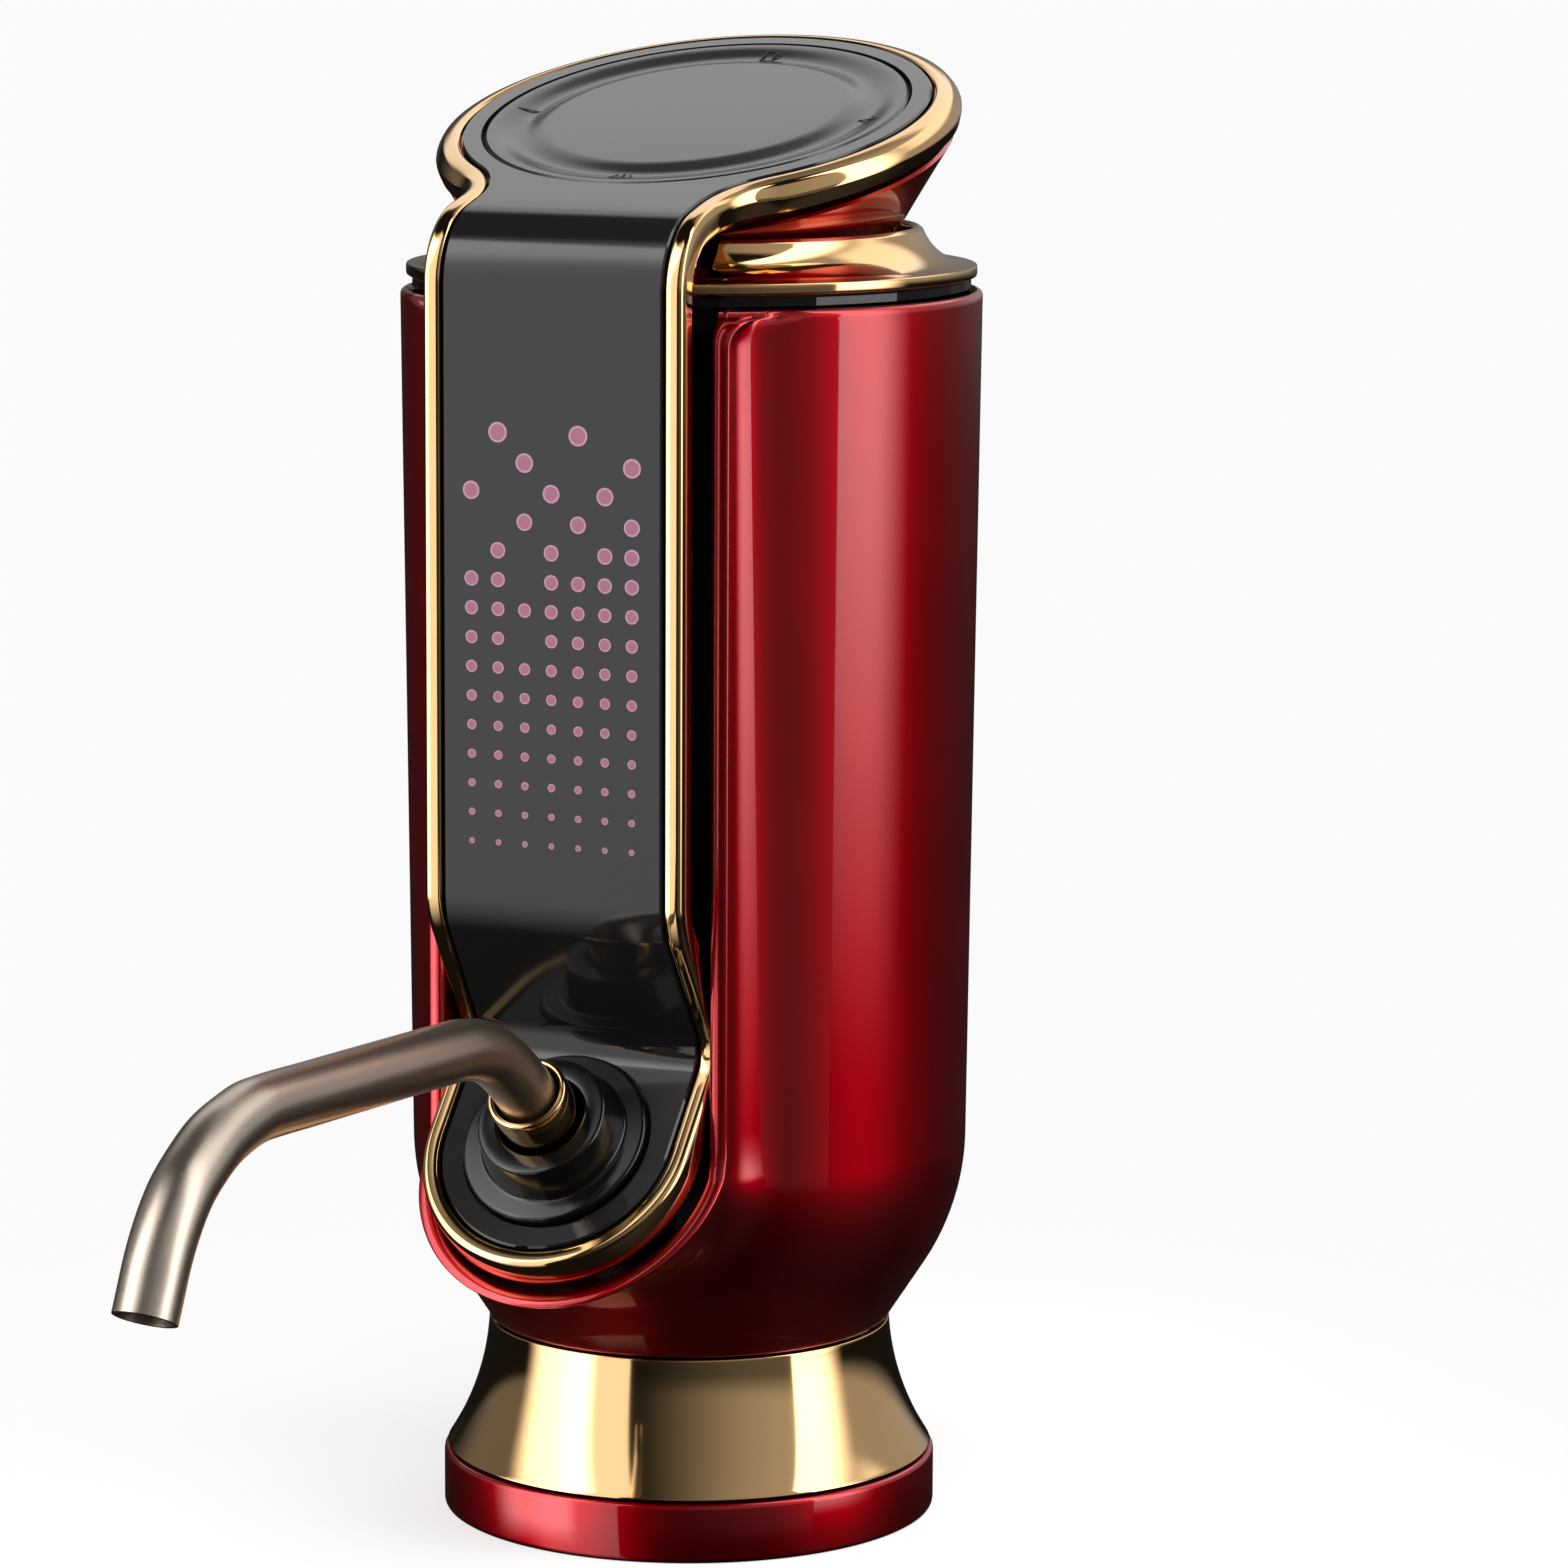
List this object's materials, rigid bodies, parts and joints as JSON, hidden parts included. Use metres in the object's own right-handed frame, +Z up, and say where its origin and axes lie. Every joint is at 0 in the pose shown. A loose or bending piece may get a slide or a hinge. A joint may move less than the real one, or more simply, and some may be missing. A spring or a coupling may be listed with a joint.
{
  "type": "electric wine aerator",
  "caption": "Electric wine aerator that stands on a bottle: round body, tilted touch head, front light strip, flared foot with a bottle socket, and a curved spout that swivels.",
  "frame": {"origin": "on the body's axis in the plane that the base ring stands on, 0.3 mm under the stopper's tip", "axes": "+Z up the body's axis, -Y to the front, where the light strip and the spout are, +X to the right of a viewer who faces that front"},
  "size_m": [0.06, 0.1484, 0.1535],
  "materials": {
    "red_lacquer": "metallic red lacquer, glossy",
    "gold_plate": "metallised pale gold, mirror bright",
    "strip_glass": "dark grey, glossy",
    "pad_grey": "dark grey, satin",
    "nozzle_black": "black, satin",
    "spout_steel": "brushed stainless steel",
    "silicone": "translucent grey silicone",
    "seal_rubber": "black rubber",
    "inner_black": "moulded black plastic",
    "inner_white": "moulded white plastic",
    "board_green": "circuit board",
    "light_diffuser": "milky light guide",
    "cell_wrap": "wrapped battery cell",
    "motor_steel": "plated motor can",
    "screw_steel": "plated steel"
  },
  "bodies": {
    "aerator": {"air_tube_lower": "silicone", "air_tube_upper": "silicone", "base_ring": "red_lacquer", "base_screw_1": "screw_steel", "base_screw_2": "screw_steel", "base_screw_3": "screw_steel", "battery_cell": "cell_wrap", "battery_trough": "inner_black", "body_lid": "inner_black", "body_shell": "red_lacquer", "bottle_stopper": "silicone", "charge_socket": "screw_steel", "check_valve": "inner_white", "deck_screw_1": "screw_steel", "deck_screw_2": "screw_steel", "deck_screw_3": "screw_steel", "front_frame": "gold_plate", "front_panel": "strip_glass", "front_tray": "inner_black", "head_deck": "inner_black", "head_shell": "red_lacquer", "inner_chassis": "inner_black", "light_board": "board_green", "light_guide": "light_diffuser", "main_board": "board_green", "motor_bracket": "inner_black", "motor_can": "motor_steel", "neck_skirt": "gold_plate", "neck_sleeve": "inner_black", "nozzle_boss": "nozzle_black", "nozzle_nut": "inner_black", "port_bezel": "inner_black", "pump_cover": "inner_white", "pump_diaphragm": "seal_rubber", "pump_housing": "inner_white", "shoulder_collar": "gold_plate", "spout_o_ring_1": "seal_rubber", "spout_o_ring_2": "seal_rubber", "tact_switch": "inner_black", "touch_board": "board_green", "tray_screw_1": "screw_steel", "tray_screw_2": "screw_steel", "tray_screw_3": "screw_steel", "tray_screw_4": "screw_steel", "wine_tube": "silicone"},
    "spout": {"spout_collar": "gold_plate", "spout_tube": "spout_steel"},
    "pad": {"switch_plunger": "inner_black", "touch_pad": "pad_grey"},
    "pump_rotor": {"motor_shaft": "screw_steel", "pump_crank": "inner_white"}
  },
  "joints": [
    {"name": "spout_swivel", "type": "hinge", "parent": "aerator", "child": "spout", "pos_m": [0, -0.0321, 0.0449], "axis": [0, -0.7431, 0.6691], "range_deg": [-90, 90]},
    {"name": "pad_press", "type": "slide", "parent": "aerator", "child": "pad", "axis": [0, 0.2773, -0.9608], "range_m": [0, 0.0005], "stiffness_N_per_m": 2000, "springref_m": -0.0005},
    {"name": "pump_spin", "type": "hinge", "parent": "aerator", "child": "pump_rotor", "pos_m": [0.0109, -0.0038, 0.085], "axis": [0, 0, 1], "continuous": true}
  ]
}
